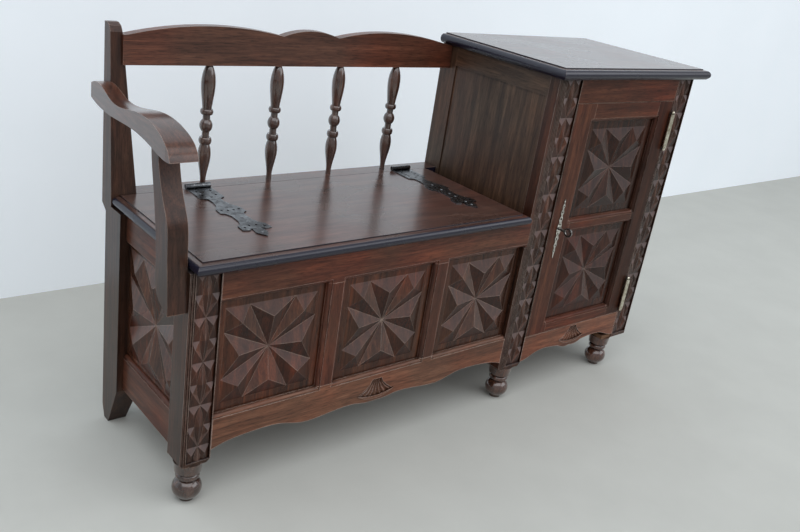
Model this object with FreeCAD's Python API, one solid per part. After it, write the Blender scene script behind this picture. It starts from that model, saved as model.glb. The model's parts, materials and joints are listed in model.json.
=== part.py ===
import FreeCAD, Part
import math
import os

from FreeCAD import Placement, Rotation, Vector

os.makedirs("parts", exist_ok=True)

# Sizes in millimetres. Heights of the whole bench.
table_height = 771.0
table_thickness = 22.0
seat_height = 468.5
lid_thickness = 20.2
lid_rest_gap = 0.3
foot_height = 82.0
side_rail_underside = 91.0

# Widths along the front, from left to right.
left_post_width = 57.0
chest_width = 719.0
middle_post_width = 72.0
post_foot_chamfer = 7.0
door_opening_width = 345.0
right_post_width = 57.0

# Depths from the front plane of the posts.
depth = 350.0
post_depth = 48.0
frame_thickness = 24.0
lid_rear_line = 310.0
nose_projection = 20.0

# Framed panels.
panel_set_back = 11.0
panel_thickness = 8.0
panel_tongue = 6.0
panel_play = 0.15
sticking_size = 8.0
sticking_quirk = 1.4
star_relief = 8.0
star_dip = 3.0
star_axis_peak = 0.69
star_corner_peak = 0.67

# Chest front.
chest_top_rail_height = 62.0
chest_opening_sill = 175.0
chest_opening_count = 3
muntin_width = 42.0
chest_star_inset = 15.0
chest_rail_overlap = 8.0
chest_apron_end = 105.5
chest_apron_arch = 14.0
chest_apron_waist = 6.0

# Carved bands of the front posts and the beads beside them.
band_pitch = 41.2
band_relief = 4.0
band_inset = 10.8
band_edge = 1.6
middle_band_inset = 23.6
right_band_inset = 5.0
band_leaf_share = 0.38
band_floor = 2.0
bead_groove = 1.5
bead_pitch = 4.4

# Shells carved on the two lower rails.
shell_half_width = 43.5
shell_height = 32.0
shell_sag = 8.0
shell_rim_width = 6.0
shell_rise = 1.6
shell_depth = 3.4
shell_flutes = 7
chest_shell_height = 125.0
cabinet_shell_height = 119.0

# Chest left end, back and floor.
end_inset = 12.0
end_rail_thickness = 22.0
end_top_rail_height = 58.0
end_sill = 167.0
end_panel_set_back = 8.0
end_star_inset = 6.0
board_thickness = 12.0
housing_depth = 5.0

# Back leg and the raked post above it, one piece.
leg_front = 268.0
leg_back = 333.0
leg_width = 47.0
leg_toe_width = 36.0
leg_toe_front = 304.0
leg_toe_back = 323.0
leg_taper_height = 86.0
leg_heel_height = 26.0
back_post_rake = 17.0
back_post_top = 766.0
back_post_top_width = 20.0
back_post_round = 14.0
back_post_heel = 445.0
back_post_heel_drop = 12.0

# Spindle back.
crest_thickness = 20.0
crest_front = 319.0
crest_underside = 698.0
crest_end_rise = 51.0
crest_high_rise = 70.5
crest_low_rise = 56.6
crest_tip_rise = 68.0
spindle_count = 4
spindle_first = 187.4
spindle_pitch = 147.4
spindle_thin = 5.8
spindle_swell = 13.0
spindle_ring = 12.3

# Armrest.
arm_front_width = 46.0
arm_back_width = 22.0
arm_nose = 5.0
arm_underside = 632.0
arm_thickness = 30.0
arm_wave = 5.5
support_width = 34.0
support_foot_height = 379.0
support_waist = 40.0
support_foot_depth = 34.0
support_head_front = 60.0
support_head_back = 82.0

# Cabinet.
table_overhang_left = 12.0
table_overhang_right = 35.0
nose_step = 15.0
nose_step_depth = 2.0
frieze_height = 52.0
cabinet_sill = 155.0
cabinet_apron_end = 92.0
cabinet_apron_arch = 17.0
cabinet_apron_lobe = 8.0
side_thickness = 13.0
side_panel_set_back = 3.0
side_panel_front = 25.0
side_top_rail_height = 42.0
rear_post_width = 45.0
rear_post_depth = 50.0
shelf_height = 424.0

# Door.
door_side_gap = 1.5
door_hinge_gap = 2.0
door_top_gap = 1.0
door_bottom_gap = 1.0
door_thickness = 22.0
lock_stile_width = 62.5
hinge_stile_width = 51.0
door_top_rail_height = 41.0
door_middle_rail_low = 404.0
door_middle_rail_high = 436.0
door_bottom_rail_height = 29.0
door_star_inset = 18.0

# Door hinges, each a lower leaf with the pin and an upper leaf that lifts off.
knuckle_radius = 5.5
knuckle_stand_off = 6.0
hinge_pin_radius = 2.5
pin_play = 0.05
upper_hinge_drop = 29.0
lower_hinge_rise = 12.0
hinge_length = 80.0
hinge_leaf_thickness = 2.0
hinge_leaf_depth = 18.0
knuckle_gap = 0.3
finial_radius = 4.2

# Lock, key and escutcheon.
key_height = 419.5
key_from_edge = 27.5
key_shaft_radius = 3.0
key_hole_play = 0.5
key_reach = 38.0
key_bow_width = 22.0
key_bow_height = 20.0
key_bow_bar = 4.0
key_bow_thickness = 3.0
key_bit_reach = 7.8
key_bit_height = 8.0
escutcheon_length = 139.0
escutcheon_half_width = 7.0
escutcheon_thickness = 1.5
lock_case_inset = 3.0
lock_case_width = 56.0
lock_case_height = 62.0
lock_case_depth = 14.0
bolt_height = 12.0
bolt_thickness = 7.0
bolt_length = 42.0
bolt_throw = 9.0
bolt_rise = 9.0
bolt_play = 0.2
mortise_clearance = 1.0

# Strap hinges of the lid.
strap_centres = (168.0, 668.5)
strap_barrel_length = 51.0
strap_length = 255.0
strap_root_half_width = 24.0
strap_hole_radius = 2.6
strap_hole_length = 9.0
strap_thickness = 2.0
strap_knuckle_radius = 5.0
strap_pin_radius = 2.0
strap_leaf_depth = 19.0

# Turned feet.
foot_radius = 26.5
foot_neck_radius = 15.5
foot_ball_height = 38.0
foot_pad_radius = 13.0
foot_pad_height = 5.0
foot_collar_height = 21.0
right_foot_inboard = 13.0

# Positions that follow from the sizes.
chest_top = seat_height - lid_thickness - lid_rest_gap
post_top = table_height - table_thickness
x_chest = left_post_width
x_middle = x_chest + chest_width
x_door = x_middle + middle_post_width
x_right_post = x_door + door_opening_width
x_end = x_right_post + right_post_width
x_side = x_middle + 1.0
x_rear_left = x_side + rear_post_width
x_rear_right = x_end - rear_post_width
y_rear_post = depth - rear_post_depth
chest_opening_top = chest_top - chest_top_rail_height
chest_opening_width = (chest_width - (chest_opening_count - 1) * muntin_width) / chest_opening_count
end_opening_top = chest_top - end_top_rail_height
frieze_underside = post_top - frieze_height
hinge_x = x_right_post - door_hinge_gap / 2
hinge_y = -knuckle_stand_off
lid_hinge_z = seat_height + strap_knuckle_radius + 0.5
back_post_front = lid_rear_line - 1.0
table_left = x_middle - table_overhang_left
table_right = x_end + table_overhang_right
arm_left = -arm_front_width
origin = Vector((arm_left + table_right) / 2, (depth - key_reach) / 2, 0)


def box(x0, x1, y0, y1, z0, z1):
    return Part.makeBox(x1 - x0, y1 - y0, z1 - z0, Vector(x0, y0, z0))


def line(a, b):
    return Part.LineSegment(a, b).toShape()


def arc(a, b, c):
    return Part.Arc(a, b, c).toShape()


def curve(points):
    spline = Part.BSplineCurve()
    spline.interpolate(points)
    return spline.toShape()


def polygon(points):
    return Part.Face(Part.makePolygon(points + [points[0]]))


def side_prism(points, x0, x1):
    """Solid from an outline of (y, z) points, carried along x."""
    return polygon([Vector(x0, y, z) for y, z in points]).extrude(Vector(x1 - x0, 0, 0))


def front_prism(points, y0, y1):
    """Solid from an outline of (x, z) points, carried along y."""
    return polygon([Vector(x, y0, z) for x, z in points]).extrude(Vector(0, y1 - y0, 0))


def plan_prism(points, z0, z1):
    """Solid from an outline of (x, y) points, carried along z."""
    return polygon([Vector(x, y, z0) for x, y in points]).extrude(Vector(0, 0, z1 - z0))


def cylinder(radius, start, end):
    axis = end - start
    return Part.makeCylinder(radius, axis.Length, start, axis)


def stand(shape, position, turn=0.0):
    """Puts a shape drawn flat, face upward, into an upright plane: the front, or the left end at -90."""
    upright = Rotation(Vector(0, 0, 1), turn).multiply(Rotation(Vector(1, 0, 0), 90))
    placed = shape.copy()
    placed.Placement = Placement(position, upright).multiply(placed.Placement)
    return placed


def save(name, shape):
    solid = shape.Solids[0] if len(shape.Solids) == 1 else shape
    moved = solid.copy()
    moved.translate(-origin)
    moved.exportStep("parts/" + name + ".step")


def turning(segments, base, length):
    """Revolved solid on a vertical axis from rows of (share of the length, radius)."""
    rows = [[Vector(radius, 0, length * share) for share, radius in row] for row in segments]
    edges = [line(Vector(0, 0, 0), rows[0][0])]
    last = rows[0][0]
    for row in rows:
        if last.distanceToPoint(row[0]) > 1e-6:
            edges.append(line(last, row[0]))
        if len(row) == 2:
            edges.append(line(row[0], row[1]))
        elif len(row) == 3:
            edges.append(arc(*row))
        else:
            edges.append(curve(row))
        last = row[-1]
    top = Vector(0, 0, last.z)
    edges.append(line(last, top))
    edges.append(line(top, Vector(0, 0, 0)))
    solid = Part.Face(Part.Wire(edges)).revolve(Vector(0, 0, 0), Vector(0, 0, 1), 360)
    solid.translate(base)
    return solid


def star(half_width, half_height, thickness):
    """Faceted star: eight valleys from the centre, four raised kites on the axes and four at the corners."""
    faces = []
    centre = Vector(0, 0, -star_dip)
    floor = []
    for c, s in ((1, 0), (0, 1), (-1, 0), (0, -1)):
        def point(u, v, height):
            return Vector(half_width * (c * u - s * v), half_height * (s * u + c * v), height)
        low = point(1, -0.5, 0)
        high = point(1, 0.5, 0)
        corner = point(1, 1, 0)
        beyond = point(0.5, 1, 0)
        axis_peak = point(star_axis_peak, 0, star_relief)
        corner_peak = point(star_corner_peak, star_corner_peak, star_relief)
        for triangle in (
            [centre, low, axis_peak],
            [centre, axis_peak, high],
            [low, high, axis_peak],
            [centre, high, corner_peak],
            [high, corner, corner_peak],
            [corner, beyond, corner_peak],
            [beyond, centre, corner_peak],
        ):
            faces.append(polygon(triangle))
        start = point(1, -1, 0)
        below = point(1, -1, -thickness)
        above = point(1, 1, -thickness)
        faces.append(polygon([start, below, above, corner, high, low]))
        floor.append(below)
    faces.append(polygon(floor[::-1]))
    shell = Part.makeShell(faces)
    shell.sewShape()
    solid = Part.Solid(shell)
    if solid.Volume < 0:
        solid.reverse()
    return solid


def faceted(facets, outline, base):
    """Solid under a set of facets: walls drop from the outline to a flat base."""
    count = len(outline)
    feet = [Vector(p.x, p.y, base) for p in outline]
    faces = [polygon(facet) for facet in facets]
    for index in range(count):
        following = (index + 1) % count
        faces.append(polygon([outline[index], feet[index], feet[following], outline[following]]))
    faces.append(polygon(feet[::-1]))
    shell = Part.makeShell(faces)
    shell.sewShape()
    solid = Part.Solid(shell)
    if solid.Volume < 0:
        solid.reverse()
    return solid


def band_cell(width):
    """Two cells of a carved band, drawn flat and hanging from the origin.

    A pointed leaf runs down the middle and a low pyramid stands in each of the four corners beside it.
    All the valleys lie at one depth.
    """
    half = width / 2
    leaf = half * band_leaf_share

    def low(side, across, down):
        return Vector(side * across, -down * band_pitch, -band_relief)
    facets = []
    outline = []
    for side in (1, -1):
        ends = (low(side, 0, 0), low(side, 0, 2))
        bulges = (low(side, leaf * 0.72, 0.5), low(side, leaf * 0.72, 1.5))
        waist = low(side, leaf, 1)
        edge = [low(side, half, down) for down in range(3)]
        ridge = Vector(0, -band_pitch, 0)
        upper = Vector(side * half * 0.56, -0.36 * band_pitch, -band_relief * 0.1)
        lower = Vector(side * half * 0.76, -1.32 * band_pitch, -band_relief * 0.1)
        for rim, peak in (
            ([ends[0], bulges[0], waist, edge[1], edge[0]], upper),
            ([waist, bulges[1], ends[1], edge[2], edge[1]], lower),
        ):
            for index, corner in enumerate(rim):
                facets.append([corner, rim[(index + 1) % len(rim)], peak][::side])
        leaf_side = [ends[1], bulges[1], waist, bulges[0], ends[0]]
        for first, second in zip(leaf_side, leaf_side[1:]):
            facets.append([first, second, ridge][::side])
        outline.append([ends[1]] + edge[::-1] + [ends[0]])
    walls = outline[0] + outline[1][::-1][1:-1]
    return faceted(facets, walls, -band_relief - band_floor)


def carved_post(post, x0, x1, top):
    """Post with its carved band between two positions, from the top down to the foot's chamfer."""
    low_end = foot_height + post_foot_chamfer
    repeat = 2 * band_pitch
    cell = band_cell(x1 - x0)
    window = box(x0, x1, -1, band_relief + band_floor, low_end, top)
    cells = []
    for index in range(math.ceil((top - low_end) / repeat - 0.1)):
        placed = stand(cell, Vector((x0 + x1) / 2, 0, top - index * repeat))
        cells.append(placed.common(window))
    reached = max(low_end, top - len(cells) * repeat)
    window = box(x0, x1, -1, band_relief + band_floor, reached, top)
    return post.cut(window).fuse(cells).removeSplitter()


def beads(post, x0, count, top):
    """Post with upright grooves cut at one pitch, so that beads stand between them."""
    for index in range(count):
        x = x0 + index * bead_pitch
        post = post.cut(plan_prism([
            (x - bead_groove, -1),
            (x + bead_groove, -1),
            (x, bead_groove * 1.2),
        ], foot_height, top))
    return post


def shell_relief():
    """Fluted shell drawn flat: narrow at its top and spread to two tips, with sunk valleys."""
    levels = (0.0, 0.3, 0.65, 1.0)
    count = 2 * shell_flutes
    rows = []
    for level in levels:
        row = []
        for index in range(count + 1):
            across = 2 * index / count - 1
            spread = shell_half_width * (0.26 + 0.74 * level ** 1.7)
            sag = shell_sag * level * (1 - across * across)
            sunk = shell_depth if index % 2 == 0 else shell_depth * 0.2
            row.append(Vector(across * spread, shell_height * (1 - level) - sag, -sunk))
        rows.append(row)
    facets = []
    for upper, lower in zip(rows, rows[1:]):
        for index in range(count):
            facets.append([upper[index], lower[index], lower[index + 1]])
            facets.append([upper[index], lower[index + 1], upper[index + 1]])
    left = [row[0] for row in rows]
    right = [row[-1] for row in rows[::-1]]
    outline = left + rows[-1][1:-1] + right + rows[0][-2:0:-1]
    return faceted(facets, outline, -2 * shell_depth), outline


def shell_rim():
    """Raised crescent that carries the shell, from tip to tip, and covers the lower ends of its flutes."""
    tip = shell_half_width + 2
    lap = shell_rim_width * 0.3
    left = Vector(-tip, lap, -1)
    right = Vector(tip, lap, -1)
    inner = Vector(0, lap - shell_sag, -1)
    outer = Vector(0, lap - shell_sag - shell_rim_width, -1)
    wire = Part.Wire([arc(left, outer, right), arc(right, inner, left)])
    return Part.Face(wire).extrude(Vector(0, 0, 1 + shell_rise))


def with_shell(rail, centre):
    relief, outline = shell_relief()
    pocket = Part.Face(Part.makePolygon([Vector(p.x, p.y, 1) for p in outline + outline[:1]]))
    pocket = pocket.extrude(Vector(0, 0, -1 - 2 * shell_depth))
    carved = rail.cut(stand(pocket, centre)).fuse(stand(relief, centre))
    return carved.fuse(stand(shell_rim(), centre))


def star_panel(width, height, inset, set_back):
    """Panel with its tongue, drawn flat about its centre with the frame's face at zero height."""
    half_width = width / 2
    half_height = height / 2
    reach_x = half_width + panel_tongue - panel_play
    reach_y = half_height + panel_tongue - panel_play
    star_x = half_width - inset
    star_y = half_height - inset
    plate = box(-reach_x, reach_x, -reach_y, reach_y, -panel_thickness, 0)
    window = box(-star_x, star_x, -star_y, star_y, -panel_thickness, 0)
    panel = plate.cut(window).fuse(star(star_x, star_y, panel_thickness)).removeSplitter()
    panel.translate(Vector(0, 0, -set_back))
    return panel


def groove(width, height, set_back):
    """Room for a panel's tongue, drawn like the panel."""
    reach_x = width / 2 + panel_tongue
    reach_y = height / 2 + panel_tongue
    room = box(-reach_x, reach_x, -reach_y, reach_y, -panel_thickness - panel_play, panel_play)
    room.translate(Vector(0, 0, -set_back))
    return room


def sticking(width, height):
    """Wood taken off round an opening for its moulded edge, mitred at the corners."""
    size = sticking_size
    quirk = sticking_quirk
    middle = size - (size - quirk) * math.sqrt(0.5)
    pieces = []
    for turn in range(4):
        along = (width if turn % 2 == 0 else height) / 2
        away = (height if turn % 2 == 0 else width) / 2
        start = -(along + size)

        def at(out, down):
            return Vector(start, away + out, -down)
        wire = Part.Wire([
            line(at(-1, -1), at(size, -1)),
            line(at(size, -1), at(size, quirk)),
            arc(at(size, quirk), at(middle, middle), at(quirk, size)),
            line(at(quirk, size), at(-1, size)),
            line(at(-1, size), at(-1, -1)),
        ])
        run = Part.Face(wire).extrude(Vector(2 * (along + size), 0, 0))
        mitre = plan_prism([
            (-(along + size), away + size),
            (-(along - 1), away - 1),
            (along - 1, away - 1),
            (along + size, away + size),
        ], -size - 1, 2)
        piece = run.common(mitre)
        piece.rotate(Vector(0, 0, 0), Vector(0, 0, 1), 90 * turn)
        pieces.append(piece)
    return pieces


def nose_outline(outer, inward, top, thickness):
    """Edges of a board's moulded nose, from the step on its top face round to the underside."""
    step = nose_step_depth
    a = (outer + inward * nose_step, top)
    b = (outer + inward * nose_step, top - step)
    c = (outer + inward * nose_step * 0.45, top - step - 0.9)
    d = (outer, top - thickness * 0.52)
    e = (outer + inward * 1.6, top - thickness * 0.8)
    f = (outer + inward * 6.0, top - thickness)
    return a, b, c, d, e, f


def nosed_board(x0, x1, y0, y1, top, thickness, right_nose=True):
    """Board with the moulded nose on its front and ends and a plain back edge."""
    def face(first, last, last_nosed, at):
        left = nose_outline(first, 1, top, thickness)
        edges = [line(at(left[0]), at(left[1])), line(at(left[1]), at(left[2]))]
        edges.append(arc(at(left[2]), at(left[3]), at(left[4])))
        edges.append(line(at(left[4]), at(left[5])))
        if last_nosed:
            right = nose_outline(last, -1, top, thickness)
            edges.append(line(at(left[5]), at(right[5])))
            edges.append(line(at(right[5]), at(right[4])))
            edges.append(arc(at(right[4]), at(right[3]), at(right[2])))
            edges.append(line(at(right[2]), at(right[1])))
            edges.append(line(at(right[1]), at(right[0])))
            edges.append(line(at(right[0]), at(left[0])))
        else:
            low = (last, top - thickness)
            high = (last, top)
            edges.append(line(at(left[5]), at(low)))
            edges.append(line(at(low), at(high)))
            edges.append(line(at(high), at(left[0])))
        return Part.Face(Part.Wire(edges))
    across = face(y0, y1, False, lambda p: Vector(x0, p[0], p[1])).extrude(Vector(x1 - x0, 0, 0))
    along = face(x0, x1, right_nose, lambda p: Vector(p[0], y0, p[1])).extrude(Vector(0, y1 - y0, 0))
    return across.common(along)


def apron(x0, x1, end, top, shares):
    """Rail with a scalloped lower edge: rows of (share of the half length, height), centre to end."""
    centre = (x0 + x1) / 2
    half = (x1 - x0) / 2
    edges = [line(Vector(x0, 0, top), Vector(x1, 0, top)), line(Vector(x1, 0, top), Vector(x1, 0, end))]
    right = [[Vector(centre + half * share, 0, height) for share, height in row] for row in shares]
    for row in right[::-1]:
        edges.append(curve(row[::-1]))
    for row in right:
        edges.append(curve([Vector(2 * centre - p.x, 0, p.z) for p in row]))
    edges.append(line(Vector(x0, 0, end), Vector(x0, 0, top)))
    return Part.Face(Part.Wire(edges)).extrude(Vector(0, frame_thickness, 0))


# Feet.
foot_ball_middle = foot_pad_height + foot_ball_height / 2
foot_ball_top = foot_pad_height + foot_ball_height
foot_collar_low = foot_height - foot_collar_height
foot_bead_middle = (foot_ball_top + foot_collar_low) / 2
foot_turns = [
    [(0, foot_pad_radius), (foot_pad_height / foot_height, foot_pad_radius)],
    [
        (foot_pad_height / foot_height, foot_pad_radius),
        (foot_ball_middle / foot_height, foot_radius),
        (foot_ball_top / foot_height, foot_neck_radius),
    ],
    [
        ((foot_ball_top + 2) / foot_height, foot_neck_radius + 2),
        (foot_bead_middle / foot_height, foot_neck_radius + 6),
        ((foot_collar_low - 4) / foot_height, foot_neck_radius + 2),
    ],
    [((foot_collar_low - 2) / foot_height, foot_neck_radius + 1), (foot_collar_low / foot_height, foot_radius - 2.5)],
    [(foot_collar_low / foot_height, foot_radius - 2.5), (1, foot_radius)],
]
foot_y = post_depth / 2
foot_places = (
    ("foot_left", left_post_width / 2),
    ("foot_middle", (x_middle + x_door) / 2),
    ("foot_right", x_right_post - right_foot_inboard),
)
for foot_name, foot_x in foot_places:
    save(foot_name, turning(foot_turns, Vector(foot_x, foot_y, 0), foot_height))

# Openings of the chest front and the door, each with its panel, groove and moulded edge.
chest_openings = []
for index in range(chest_opening_count):
    opening_x = x_chest + index * (chest_opening_width + muntin_width)
    chest_openings.append((opening_x, opening_x + chest_opening_width))
chest_opening_height = chest_opening_top - chest_opening_sill
chest_middle_z = (chest_opening_top + chest_opening_sill) / 2
chest_sticking = []
chest_grooves = []
for index, (opening_x0, opening_x1) in enumerate(chest_openings):
    centre = Vector((opening_x0 + opening_x1) / 2, 0, chest_middle_z)
    panel = star_panel(chest_opening_width, chest_opening_height, chest_star_inset, panel_set_back)
    save("chest_panel_" + ("left", "middle", "right")[index % 3], stand(panel, centre))
    chest_grooves.append(stand(groove(chest_opening_width, chest_opening_height, panel_set_back), centre))
    for piece in sticking(chest_opening_width, chest_opening_height):
        chest_sticking.append(stand(piece, centre))

# Left end panel and its groove.
end_opening_width = leg_front - post_depth
end_opening_height = end_opening_top - end_sill
end_centre = Vector(end_inset, (leg_front + post_depth) / 2, (end_opening_top + end_sill) / 2)
end_panel = star_panel(end_opening_width, end_opening_height, end_star_inset, end_panel_set_back)
end_groove = stand(groove(end_opening_width, end_opening_height, end_panel_set_back), end_centre, -90)
end_sticking = [stand(piece, end_centre, -90) for piece in sticking(end_opening_width, end_opening_height)]
save("end_panel", stand(end_panel, end_centre, -90))

# Chest floor, housed in the apron and in the back board and cut round the posts.
chest_back_front = leg_back - board_thickness
chest_floor_top = chest_opening_sill - 1.0
chest_floor = box(
    end_inset + end_rail_thickness,
    x_side,
    frame_thickness - housing_depth,
    chest_back_front + housing_depth,
    chest_floor_top - board_thickness,
    chest_floor_top,
)
chest_floor = chest_floor.cut([
    box(0, x_chest, 0, post_depth, 0, chest_top),
    box(0, leg_width, leg_front, depth, 0, chest_top),
    box(x_middle, x_door, 0, post_depth, 0, chest_top),
])
save("chest_floor", chest_floor)

# Front posts.
def front_post(x0, x1, top):
    post = box(x0, x1, 0, post_depth, foot_height, top)
    chamfer = post_foot_chamfer
    for corner_x, inward in ((x0, 1), (x1, -1)):
        wedge = front_prism([
            (corner_x, foot_height),
            (corner_x + inward * chamfer, foot_height),
            (corner_x, foot_height + chamfer),
        ], 0, post_depth)
        post = post.cut(wedge)
    return post


left_post = front_post(0, x_chest, chest_top).cut([chest_grooves[0], end_groove])
left_post = beads(left_post, band_inset - 1.5 * bead_pitch, 2, chest_top)
save("post_left", carved_post(left_post, band_inset, x_chest - band_edge, chest_top))

rail_notch = box(
    x_middle, x_middle + chest_rail_overlap, 0, frame_thickness, chest_opening_top, chest_top
)
side_rebate = box(x_middle, x_side + side_thickness, side_panel_front, post_depth, side_rail_underside, post_top)
key_x = x_door + door_side_gap + key_from_edge
bolt_low = key_height + bolt_rise
bolt_front = door_thickness + (lock_case_depth - bolt_thickness) / 2
mortise = box(
    x_door - bolt_throw - mortise_clearance,
    x_door,
    bolt_front - 1,
    bolt_front + bolt_thickness + 1,
    bolt_low - 1,
    bolt_low + bolt_height + 1,
)
middle_post = front_post(x_middle, x_door, post_top)
middle_post = middle_post.cut([chest_grooves[-1], rail_notch, side_rebate, mortise])
band_start = x_middle + middle_band_inset
middle_post = beads(middle_post, band_start - 3.5 * bead_pitch, 4, post_top)
save("post_middle", carved_post(middle_post, band_start, x_door - band_edge, post_top))

# Chest front rails and muntins.
chest_rail_end = x_middle + chest_rail_overlap
top_rail = box(x_chest, chest_rail_end, 0, frame_thickness, chest_opening_top, chest_top)
save("chest_top_rail", top_rail.cut(chest_grooves + chest_sticking))

arch_height = chest_apron_end + chest_apron_arch
waist_height = chest_apron_end + chest_apron_waist
chest_apron_rows = [
    [(0, chest_apron_end + 2), (0.08, chest_apron_end + 2.6), (0.13, waist_height)],
    [(0.13, waist_height), (0.25, waist_height), (0.37, chest_apron_end + 1.5), (0.44, chest_apron_end)],
    [
        (0.44, chest_apron_end),
        (0.52, chest_apron_end + 4),
        (0.60, arch_height - 2.5),
        (0.78, arch_height),
        (0.92, arch_height - 5.5),
        (1, chest_apron_end),
    ],
]
chest_apron = apron(x_chest, x_middle, chest_apron_end, chest_opening_sill, chest_apron_rows)
chest_apron = chest_apron.cut(chest_grooves + chest_sticking + [chest_floor])
save("chest_apron", with_shell(chest_apron, Vector((x_chest + x_middle) / 2, 0, chest_shell_height)))

for index in range(chest_opening_count - 1):
    muntin_x = chest_openings[index][1]
    muntin = box(muntin_x, muntin_x + muntin_width, 0, frame_thickness, chest_opening_sill, chest_opening_top)
    save("muntin_" + ("left", "right")[index % 2], muntin.cut(chest_grooves + chest_sticking))

# Left end rails.
end_back = end_inset + end_rail_thickness
end_top_rail = box(end_inset, end_back, post_depth, leg_front, end_opening_top, chest_top)
end_bottom_rail = box(end_inset, end_back, post_depth, leg_front, side_rail_underside, end_sill)
save("end_top_rail", end_top_rail.cut([end_groove] + end_sticking))
save("end_bottom_rail", end_bottom_rail.cut([end_groove] + end_sticking))

# Back leg with the raked post, cut from its side outline and its front outline.
rake_at_top = back_post_front + back_post_rake
leg_side = side_prism([
    (leg_toe_front, 0),
    (leg_toe_back, 0),
    (leg_back, leg_heel_height),
    (leg_back, back_post_heel - back_post_heel_drop),
    (depth, back_post_heel),
    (depth, back_post_top),
    (rake_at_top + back_post_round, back_post_top),
    (rake_at_top + back_post_round * 0.3, back_post_top - back_post_round * 0.3),
    (rake_at_top, back_post_top - back_post_round),
    (back_post_front, chest_top),
    (leg_front, chest_top),
    (leg_front, leg_taper_height),
], 0, leg_width)
leg_outline = front_prism([
    (0, 0),
    (leg_toe_width, 0),
    (leg_width, side_rail_underside),
    (leg_width, seat_height),
    (back_post_top_width, back_post_top),
    (0, back_post_top),
], leg_front, depth)
back_post = leg_side.common(leg_outline)
save("back_post", back_post.cut(end_groove))

# Chest back, a single board flush with the back of the leg.
save("chest_back", box(leg_width, x_side, chest_back_front, leg_back, side_rail_underside, chest_top).cut(chest_floor))

# Fixed strip behind the lid, with a recess for each strap hinge's fixed leaf.
strap_leaf_low = seat_height - strap_leaf_depth
half_barrel = strap_barrel_length / 2
strip = box(leg_width, x_side, lid_rear_line, depth, chest_top, seat_height)
for strap_x in strap_centres:
    strip = strip.cut(box(
        strap_x - half_barrel,
        strap_x + half_barrel,
        lid_rear_line,
        lid_rear_line + strap_thickness,
        strap_leaf_low,
        seat_height,
    ))
save("seat_strip", strip)

# Seat lid.
lid_left = 1.5
lid_right = x_middle - 19.0
lid_rear = lid_rear_line - 1.2
lid = nosed_board(lid_left, lid_right, -nose_projection, lid_rear, seat_height, lid_thickness)
save("seat_lid", lid)

# Strap hinges.
knuckle_share = strap_barrel_length / 3
strap_names = ("left", "right")
for strap_index, strap_x in enumerate(strap_centres):
    strap_name = strap_names[strap_index]
    axis_y = lid_rear_line
    axis_z = lid_hinge_z
    left = strap_x - half_barrel
    right = strap_x + half_barrel
    bore = cylinder(
        strap_pin_radius + pin_play, Vector(left - 1, axis_y, axis_z), Vector(right + 1, axis_y, axis_z)
    )
    inner_left = left + knuckle_share
    inner_right = right - knuckle_share
    strap_half = [
        (half_barrel, 0.0),
        (strap_root_half_width, 0.04),
        (strap_root_half_width, 0.23),
        (strap_root_half_width * 0.5, 0.26),
        (strap_root_half_width * 0.46, 0.33),
        (strap_root_half_width * 0.60, 0.39),
        (strap_root_half_width * 1.02, 0.46),
        (strap_root_half_width * 1.08, 0.54),
        (strap_root_half_width * 0.72, 0.56),
        (strap_root_half_width * 0.55, 0.61),
        (strap_root_half_width * 0.58, 0.70),
        (strap_root_half_width * 0.76, 0.76),
        (strap_root_half_width * 1.14, 0.79),
        (strap_root_half_width * 1.18, 0.87),
        (strap_root_half_width * 0.66, 0.88),
        (strap_root_half_width * 0.36, 0.85),
        (strap_root_half_width * 0.48, 0.93),
        (0.0, 1.0),
    ]
    outline = [(strap_x + w, axis_y - t * strap_length) for w, t in strap_half]
    outline += [(strap_x - w, axis_y - t * strap_length) for w, t in strap_half[-2::-1]]
    leaf = plan_prism(outline, seat_height, seat_height + strap_thickness)
    gap_cut = box(
        inner_left - knuckle_gap,
        inner_right + knuckle_gap,
        axis_y - strap_knuckle_radius - 1,
        axis_y + strap_knuckle_radius + 1,
        seat_height - 1,
        axis_z + strap_knuckle_radius + 1,
    )
    knuckles = cylinder(strap_knuckle_radius, Vector(left, axis_y, axis_z), Vector(right, axis_y, axis_z))
    holes = []
    for share, t in ((0.60, 0.09), (0.56, 0.18), (0.72, 0.49), (0.24, 0.50), (0.80, 0.83), (0.30, 0.80)):
        for side in (-1, 1):
            hole_x = strap_x + side * share * strap_root_half_width
            hole_y = axis_y - t * strap_length
            holes.append(plan_prism([
                (hole_x - strap_hole_radius, hole_y),
                (hole_x, hole_y - strap_hole_length / 2),
                (hole_x + strap_hole_radius, hole_y),
                (hole_x, hole_y + strap_hole_length / 2),
            ], seat_height - 1, seat_height + strap_thickness + 1))
    save("strap_" + strap_name, leaf.fuse(knuckles).cut([gap_cut, bore] + holes))
    fixed_knuckle = cylinder(
        strap_knuckle_radius, Vector(inner_left, axis_y, axis_z), Vector(inner_right, axis_y, axis_z)
    )
    fixed_leaf = box(left, right, axis_y, axis_y + strap_thickness, strap_leaf_low, seat_height)
    fixed_neck = box(inner_left, inner_right, axis_y, axis_y + strap_thickness, seat_height, axis_z)
    pin = cylinder(strap_pin_radius, Vector(left, axis_y, axis_z), Vector(right, axis_y, axis_z))
    save("strap_leaf_" + strap_name, fixed_leaf.fuse([fixed_neck, fixed_knuckle, pin]))

# Crest rail.
crest_end = table_left - 2.0


def crest_point(share, height):
    return Vector(back_post_top_width + 6 + share * (crest_end - back_post_top_width - 6), crest_front, height)


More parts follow.
